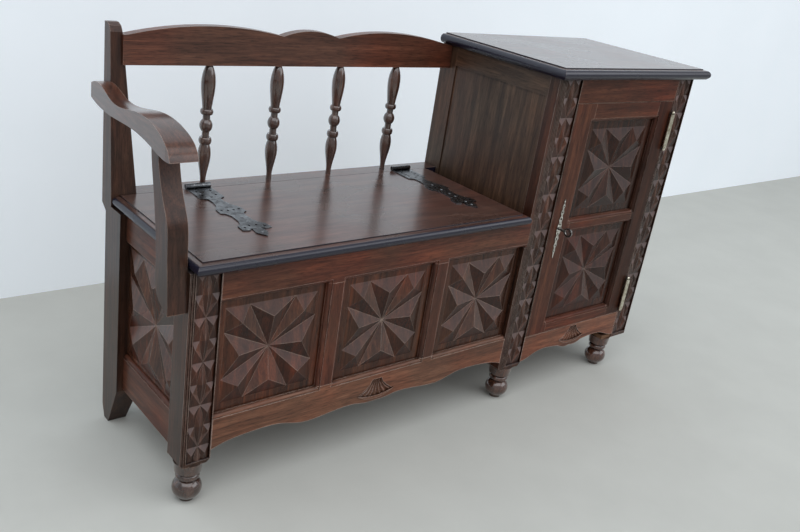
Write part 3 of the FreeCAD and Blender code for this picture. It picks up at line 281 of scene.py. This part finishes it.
# Woods: one material for each use and grain direction. "carved" gives the level of painted shade and light on
# facets that look down, forward and up, and the share of bluish-grey painted sheen on the last. "hollow" gives
# the openness at which the painted shade in hollows is full and at which it is gone.
# Pale colour of rubbed edges; on ridges and rims it also serves as a painted highlight.
WORN_AND_HIGHLIT = (0.40, 0.27, 0.21)
WOODS = {
    "frame": {
        "tones": ((0.040, 0.014, 0.008), (0.086, 0.031, 0.018), (0.150, 0.058, 0.031)),
        "red": (1.35, 0.90, 0.8), "worn": (0.46, 0.33, 0.28), "roughness": (0.32, 0.46), "coat": 0.08, "wear": 1.0,
        "specular": 0.22, "edge_gain": 16.0,
    },
    "crest": {
        "tones": ((0.044, 0.017, 0.010), (0.090, 0.036, 0.022), (0.150, 0.064, 0.038)),
        "red": (1.3, 0.92, 0.8), "worn": WORN_AND_HIGHLIT, "roughness": (0.26, 0.40), "coat": 0.22, "wear": 0.9,
        "specular": 0.3, "edge_gain": 9.0,
    },
    # A lighter copy of the frame wood: painted light from the floor below. The high edge gain paints highlights on
    # the rims of the carved shells.
    "apron": {
        "tones": ((0.070, 0.028, 0.016), (0.142, 0.060, 0.033), (0.225, 0.102, 0.058)),
        "red": (1.25, 0.92, 0.8), "worn": (0.56, 0.43, 0.37), "roughness": (0.34, 0.48), "coat": 0.1, "wear": 1.0,
        "specular": 0.28, "edge_gain": 34.0, "hollow": (0.50, 0.95),
    },
    "post": {
        "tones": ((0.024, 0.010, 0.007), (0.058, 0.024, 0.014), (0.112, 0.048, 0.028)),
        "red": (1.3, 0.92, 0.8), "worn": WORN_AND_HIGHLIT, "roughness": (0.22, 0.36), "coat": 0.6, "wear": 0.8,
    },
    "band": {
        "tones": ((0.024, 0.011, 0.007), (0.052, 0.023, 0.014), (0.100, 0.044, 0.026)),
        "red": (1.4, 0.92, 0.75), "worn": (0.34, 0.26, 0.22), "roughness": (0.24, 0.38), "coat": 0.25, "wear": 0.8,
        "carved": (0.34, 0.80, 2.0, 0.70), "edge_gain": 24.0, "specular": 0.20, "hollow": (0.35, 0.88),
    },
    "star": {
        "tones": ((0.023, 0.010, 0.006), (0.052, 0.021, 0.012), (0.110, 0.040, 0.020)),
        "red": (1.6, 0.95, 0.65), "worn": (0.36, 0.27, 0.22), "roughness": (0.22, 0.34), "coat": 0.22, "wear": 0.9,
        "carved": (0.46, 1.0, 1.6, 0.36), "edge_gain": 60.0, "specular": 0.18,
    },
    "door_star": {
        "tones": ((0.015, 0.007, 0.005), (0.035, 0.015, 0.010), (0.078, 0.029, 0.016)),
        "red": (1.6, 0.95, 0.70), "worn": (0.26, 0.19, 0.16), "roughness": (0.22, 0.34), "coat": 0.16, "wear": 0.8,
        "carved": (0.50, 0.90, 1.35, 0.22), "edge_gain": 60.0, "specular": 0.14,
    },
    "door": {
        "tones": ((0.036, 0.012, 0.007), (0.074, 0.025, 0.014), (0.130, 0.046, 0.024)),
        "red": (1.35, 0.88, 0.75), "worn": WORN_AND_HIGHLIT, "roughness": (0.34, 0.48), "coat": 0.05, "wear": 1.0,
        "specular": 0.16, "edge_gain": 12.0,
    },
    # A darker copy of the door wood: painted shade on the hinge stile.
    "shaded_board": {
        "tones": ((0.016, 0.006, 0.004), (0.034, 0.012, 0.007), (0.066, 0.023, 0.012)),
        "red": (1.35, 0.88, 0.75), "worn": WORN_AND_HIGHLIT, "roughness": (0.36, 0.50), "coat": 0.03, "wear": 1.0,
        "specular": 0.14, "edge_gain": 12.0,
    },
    "shaded_post": {
        "tones": ((0.016, 0.007, 0.005), (0.040, 0.018, 0.011), (0.080, 0.036, 0.021)),
        "red": (1.3, 0.92, 0.8), "worn": WORN_AND_HIGHLIT, "roughness": (0.28, 0.42), "coat": 0.25, "wear": 0.8,
        "specular": 0.22,
    },
    "side": {
        "tones": ((0.030, 0.018, 0.012), (0.060, 0.036, 0.023), (0.112, 0.068, 0.042)),
        "red": (1.2, 0.95, 0.85), "worn": WORN_AND_HIGHLIT, "roughness": (0.32, 0.46), "coat": 0.22, "wear": 0.5,
        "specular": 0.26,
    },
    # Its nose colour is painted shade with a bluish painted reflection on the upright faces.
    "top": {
        "tones": ((0.032, 0.014, 0.010), (0.064, 0.030, 0.022), (0.110, 0.055, 0.039)),
        "red": (1.3, 0.95, 0.85), "worn": (0.20, 0.15, 0.14), "roughness": (0.24, 0.34), "coat": 0.62, "wear": 0.5,
        "nose_shade": (0.009, 0.009, 0.021), "specular": 0.45,
    },
    "turned": {
        "tones": ((0.026, 0.014, 0.011), (0.064, 0.032, 0.023), (0.115, 0.062, 0.044)),
        "red": (1.3, 0.95, 0.8), "worn": WORN_AND_HIGHLIT, "roughness": (0.14, 0.24), "coat": 1.0, "wear": 0.4,
        "specular": 0.55,
    },
    "plain": {
        "tones": ((0.085, 0.050, 0.030), (0.130, 0.080, 0.048), (0.190, 0.120, 0.072)),
        "red": (1.2, 0.95, 0.8), "worn": WORN_AND_HIGHLIT, "roughness": (0.6, 0.8), "coat": 0.0, "wear": 0.2,
    },
}
materials = {}
for use, settings in WOODS.items():
    for grain in "xyz":
        materials[use + "_" + grain] = wood(use + "_wood_" + grain, grain, **settings)
METALS = {
    "iron": {
        "name": "black_iron", "base": (0.20, 0.21, 0.22), "tarnish": (0.07, 0.072, 0.078),
        "wear": (0.45, 0.46, 0.48), "roughness": (0.2, 0.36), "scale": 90.0,
    },
    "hinge": {
        "name": "pale_brass", "base": (0.80, 0.76, 0.64), "tarnish": (0.34, 0.30, 0.22),
        "wear": (0.95, 0.92, 0.82), "roughness": (0.16, 0.32), "scale": 120.0,
    },
    "brass": {
        "name": "worn_plate", "base": (0.88, 0.86, 0.80), "tarnish": (0.16, 0.145, 0.12),
        "wear": (0.98, 0.96, 0.90), "roughness": (0.16, 0.34), "scale": 230.0,
    },
    "steel": {
        "name": "dull_steel", "base": (0.30, 0.29, 0.28), "tarnish": (0.10, 0.095, 0.09),
        "wear": (0.75, 0.75, 0.74), "roughness": (0.24, 0.42), "scale": 90.0,
    },
}
for key, settings in METALS.items():
    materials[key] = metal(**settings)

GRAIN_X = (
    "chest_top_rail", "chest_apron", "crest_rail", "frieze_rail", "cabinet_apron", "door_rail_bottom",
    "door_rail_middle", "door_rail_top", "seat_strip", "seat_lid", "cabinet_top", "chest_back", "chest_floor",
    "cabinet_floor", "cabinet_shelf", "foot_block",
)
GRAIN_Y = ("arm", "end_top_rail", "end_bottom_rail", "side_top_rail_left", "side_top_rail_right")
SLOT_METAL = {"black_iron": "iron", "hinge_brass": "hinge", "brass": "brass", "steel": "steel"}
SLOT_WOOD = {"dark_wood": "frame", "carved_wood": "star", "top_wood": "top", "inner_wood": "plain"}
slots = {entry["node"]: entry["material_slot"] for entry in frame["record"]["subparts"]}


def use_of(name):
    if name.startswith(("foot_l", "foot_m", "foot_r", "spindle_")):
        return "turned"
    if name in ("chest_apron", "cabinet_apron"):
        return "apron"
    if name == "crest_rail":
        return "crest"
    if name.startswith("post_"):
        return "band"
    if name in ("arm_support", "back_post"):
        return "shaded_post"
    if name == "arm":
        return "post"
    # Painted shade: the hinge stile gets the darker board.
    if name == "door_stile_hinge":
        return "shaded_board"
    if name.startswith("door_panel"):
        return "door_star"
    if name.startswith("door_") or name == "frieze_rail":
        return "door"
    if name.startswith(("side_", "rear_post")):
        return "side"
    return SLOT_WOOD[slots[name]]


for name, node in nodes.items():
    slot = slots[name]
    grain = "x" if name in GRAIN_X else "y" if name in GRAIN_Y else "z"
    if slot in SLOT_METAL:
        chosen = materials[SLOT_METAL[slot]]
    else:
        chosen = materials[use_of(name) + "_" + grain]
    if not node.data.materials:
        node.data.materials.append(chosen)
    for index in range(len(node.data.materials)):
        node.data.materials[index] = chosen


# Nails, pins and screws.
HEAD_PROFILE = ((1.0, 0.0), (0.97, 0.28), (0.66, 0.74), (0.28, 0.97))
HEAD_FACETS, HAMMER_MARKS = 8, 0.07
SCREW_STEPS, DISC_SHARE, SLOT_ANGLE = 10, 0.45, 0.16
HALF_REACH, HALF_TAPER = 0.94, 0.92
FIRST_TURN, TURN_STEP = 0.4, 1.7
SUNK = 0.0001


def frame_of(axis):
    """Two directions square to the axis."""
    side = axis.orthogonal().normalized()
    return side, axis.cross(side)


def rose_head(mesh, centre, axis, radius, height, turn):
    """A forged head: hammered facets rising to a blunt top."""
    across, along = frame_of(axis)
    rings = []
    for reach, lift in HEAD_PROFILE:
        ring = []
        for step in range(HEAD_FACETS):
            angle = turn + 2 * math.pi * step / HEAD_FACETS
            wobble = 1.0 + HAMMER_MARKS * math.sin(3 * angle + turn * 5) * (1 if step % 2 else -1)
            offset = across * math.cos(angle) + along * math.sin(angle)
            ring.append(mesh.verts.new(centre + offset * radius * reach * wobble + axis * height * lift))
        rings.append(ring)
    for lower, upper in zip(rings, rings[1:]):
        for step in range(HEAD_FACETS):
            after = (step + 1) % HEAD_FACETS
            mesh.faces.new((lower[step], lower[after], upper[after], upper[step]))
    top = mesh.verts.new(centre + axis * height)
    for step in range(HEAD_FACETS):
        mesh.faces.new((rings[-1][step], rings[-1][(step + 1) % HEAD_FACETS], top))
    mesh.faces.new(rings[0][::-1])


def slotted_head(mesh, centre, axis, radius, height, turn):
    """A screw head: a low disc and two raised halves with the slot between them."""
    across, along = frame_of(axis)

    def prism(outline, low, high, shrink):
        bottom = [mesh.verts.new(centre + across * x + along * y + axis * low) for x, y in outline]
        top = [mesh.verts.new(centre + across * x * shrink + along * y * shrink + axis * high) for x, y in outline]
        count = len(outline)
        for step in range(count):
            after = (step + 1) % count
            mesh.faces.new((bottom[step], bottom[after], top[after], top[step]))
        mesh.faces.new(top)
        mesh.faces.new(bottom[::-1])

    def arc(reach, angles):
        return [(reach * math.cos(angle), reach * math.sin(angle)) for angle in angles]

    circle = [2 * math.pi * step / (2 * SCREW_STEPS) for step in range(2 * SCREW_STEPS)]
    prism(arc(radius, circle), 0.0, height * DISC_SHARE, 1.0)
    sweep = math.pi - 2 * SLOT_ANGLE
    for start in (turn, turn + math.pi):
        half = [SLOT_ANGLE + sweep * step / SCREW_STEPS + start for step in range(SCREW_STEPS + 1)]
        prism(arc(HALF_REACH * radius, half), height * DISC_SHARE, height, HALF_TAPER)


def fastening(name, heads, body, material):
    """One piece of several heads; each head is (maker, centre, axis, radius, height)."""
    mesh = bmesh.new()
    for index, (maker, centre, axis, radius, height) in enumerate(heads):
        maker(mesh, Vector(centre), Vector(axis), radius, height, FIRST_TURN + TURN_STEP * index)
    data = bpy.data.meshes.new(name)
    mesh.to_mesh(data)
    mesh.free()
    data.materials.append(materials[material])
    obj = bpy.data.objects.new(name, data)
    scene.collection.objects.link(obj)
    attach(obj, body)


UP, FORWARD, BACKWARD = (0.0, 0.0, 1.0), (0.0, -1.0, 0.0), (0.0, 1.0, 0.0)
STRAP_LENGTH, STRAP_KNUCKLE, STRAP_THICKNESS = 0.255, 0.005, 0.002
NAIL_RADIUS, SMALL_NAIL_RADIUS, NAIL_HEIGHT, NAIL_OFFSET = 0.0034, 0.0030, 0.0016, 0.014
# Each nail: its way off the strap's middle, its share of the strap's length, its radius.
STRAP_NAILS = (
    (-NAIL_OFFSET, 0.135, NAIL_RADIUS), (NAIL_OFFSET, 0.135, NAIL_RADIUS), (0.0, 0.215, SMALL_NAIL_RADIUS),
    (0.0, 0.31, NAIL_RADIUS), (0.0, 0.44, SMALL_NAIL_RADIUS), (0.0, 0.56, NAIL_RADIUS), (0.0, 0.66, NAIL_RADIUS),
    (0.0, 0.73, SMALL_NAIL_RADIUS), (0.0, 0.86, SMALL_NAIL_RADIUS), (0.0, 0.93, NAIL_RADIUS),
)
for strap in ("strap_left", "strap_right"):
    low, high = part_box(strap)
    middle = (low[0] + high[0]) / 2
    pin_line = high[1] - STRAP_KNUCKLE
    leaf_top = low[2] + STRAP_THICKNESS
    heads = []
    for across, share, radius in STRAP_NAILS:
        centre = (middle + across, pin_line - share * STRAP_LENGTH, leaf_top - SUNK)
        heads.append((rose_head, centre, UP, radius, NAIL_HEIGHT))
    fastening(strap + "_nails", heads, "lid", "iron")

PIN_RADIUS, PIN_HEIGHT = 0.0013, 0.0009
PIN_SHARES = (-0.91, -0.44, 0.44, 0.91)
low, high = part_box("escutcheon")
plate_x, plate_z = (low[0] + high[0]) / 2, (low[2] + high[2]) / 2
half_plate = (high[2] - low[2]) / 2
heads = [
    (rose_head, (plate_x, low[1] + SUNK, plate_z + share * half_plate), FORWARD, PIN_RADIUS, PIN_HEIGHT)
    for share in PIN_SHARES
]
fastening("escutcheon_pins", heads, "door", "brass")

SCREW_RADIUS, SCREW_HEIGHT, SCREW_INSET = 0.0035, 0.0012, 0.007
low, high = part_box("lock_case")
heads = [
    (slotted_head, (x, high[1] - SUNK, z), BACKWARD, SCREW_RADIUS, SCREW_HEIGHT)
    for x in (low[0] + SCREW_INSET, high[0] - SCREW_INSET)
    for z in (low[2] + SCREW_INSET, high[2] - SCREW_INSET)
]
fastening("lock_case_screws", heads, "door", "steel")


# Floor and wall.
def stage_material(name, colour, scale, glow=0.0):
    """A matt surface with faint mottling."""
    material, tree, shader = new_material(name)
    _, plain = object_space(tree, per_object=False)
    mottling = noise(tree, plain, scale, detail=5.0, roughness=0.6)
    tone = ramp(tree, mottling, [(0.3, tuple(c * 0.94 for c in colour)), (0.7, colour)])
    tree.links.new(tone, shader.inputs["Base Color"])
    shader.inputs["Roughness"].default_value = 0.85
    shader.inputs["Emission Color"].default_value = (*colour, 1.0)
    shader.inputs["Emission Strength"].default_value = glow
    shader.inputs["Specular IOR Level"].default_value = 0.2
    return material


def plane(name, corners, material):
    mesh = bpy.data.meshes.new(name)
    mesh.from_pydata([Vector(c) for c in corners], [], [tuple(range(len(corners)))])
    mesh.materials.append(material)
    obj = bpy.data.objects.new(name, mesh)
    scene.collection.objects.link(obj)


def open_from_behind(material):
    """Leaves only the front of a plane to be seen."""
    tree = material.node_tree
    side = tree.nodes.new("ShaderNodeNewGeometry")
    clear = tree.nodes.new("ShaderNodeBsdfTransparent")
    choice = tree.nodes.new("ShaderNodeMixShader")
    tree.links.new(side.outputs["Backfacing"], choice.inputs[0])
    tree.links.new(tree.nodes["Principled BSDF"].outputs["BSDF"], choice.inputs[1])
    tree.links.new(clear.outputs["BSDF"], choice.inputs[2])
    tree.links.new(choice.outputs["Shader"], tree.nodes["Material Output"].inputs["Surface"])


REACH, WALL_Y, WALL_HEIGHT = 9, 0.75, 5
floor_material = stage_material("pale_floor", (0.535, 0.54, 0.505), 6.0)
wall_material = stage_material("pale_wall", (0.79, 0.84, 0.885), 2.0, 0.24)
open_from_behind(wall_material)
plane("floor", [(-REACH, -REACH, 0), (REACH, -REACH, 0), (REACH, REACH, 0), (-REACH, REACH, 0)], floor_material)
plane("wall", [
    (-REACH, WALL_Y, 0), (REACH, WALL_Y, 0), (REACH, WALL_Y, WALL_HEIGHT), (-REACH, WALL_Y, WALL_HEIGHT),
], wall_material)

# Light.
world = bpy.data.worlds.new("studio")
world.use_nodes = True
background = world.node_tree.nodes["Background"]
background.inputs["Color"].default_value = (0.95, 0.97, 1.0, 1.0)
background.inputs["Strength"].default_value = 0.5
scene.world = world


def lamp(name, place, aim, size, power, colour):
    data = bpy.data.lights.new(name, "AREA")
    data.shape = "RECTANGLE"
    data.size, data.size_y = size
    data.energy = power
    data.color = colour
    obj = bpy.data.objects.new(name, data)
    obj.location = place
    obj.rotation_mode = "QUATERNION"
    obj.rotation_quaternion = (Vector(aim) - Vector(place)).to_track_quat("-Z", "Y")
    scene.collection.objects.link(obj)


lamp("sky_above", (-1.0, -1.4, 3.6), (0.0, 0.0, 0.3), (5.0, 4.0), 95.0, (0.95, 0.97, 1.0))
lamp("sky_front", (2.8, -3.1, 2.7), (0.2, 0.0, 0.4), (4.0, 2.4), 56.0, (0.93, 0.96, 1.0))

# Camera at the photograph's place, in millimetres from the outer front corner of the left front post's foot.
ORIGIN = Vector((619.5, 156.0, 0.0))
EYE = Vector((-579.526, -1094.960, 1008.637))
RIGHT = Vector((0.76690896, -0.62505093, 0.14547162))
DOWN = Vector((-0.13844099, -0.3824732, -0.91353618))
AHEAD = Vector((0.62664563, 0.68045984, -0.37985479))
MILLIMETRES = 1000.0
FOCAL_PIXELS, FRAME_PIXELS, SENSOR = 859.7268, 800, 36.0
camera_data = bpy.data.cameras.new("camera")
camera_data.sensor_width = SENSOR
camera_data.lens = FOCAL_PIXELS * SENSOR / FRAME_PIXELS
camera_data.clip_end = 100.0
camera = bpy.data.objects.new("camera", camera_data)
facing = Matrix((RIGHT, -DOWN, -AHEAD)).transposed().to_4x4()
camera.matrix_world = Matrix.Translation((EYE - ORIGIN) / MILLIMETRES) @ facing
scene.collection.objects.link(camera)
scene.camera = camera
scene.view_settings.view_transform = "Standard"
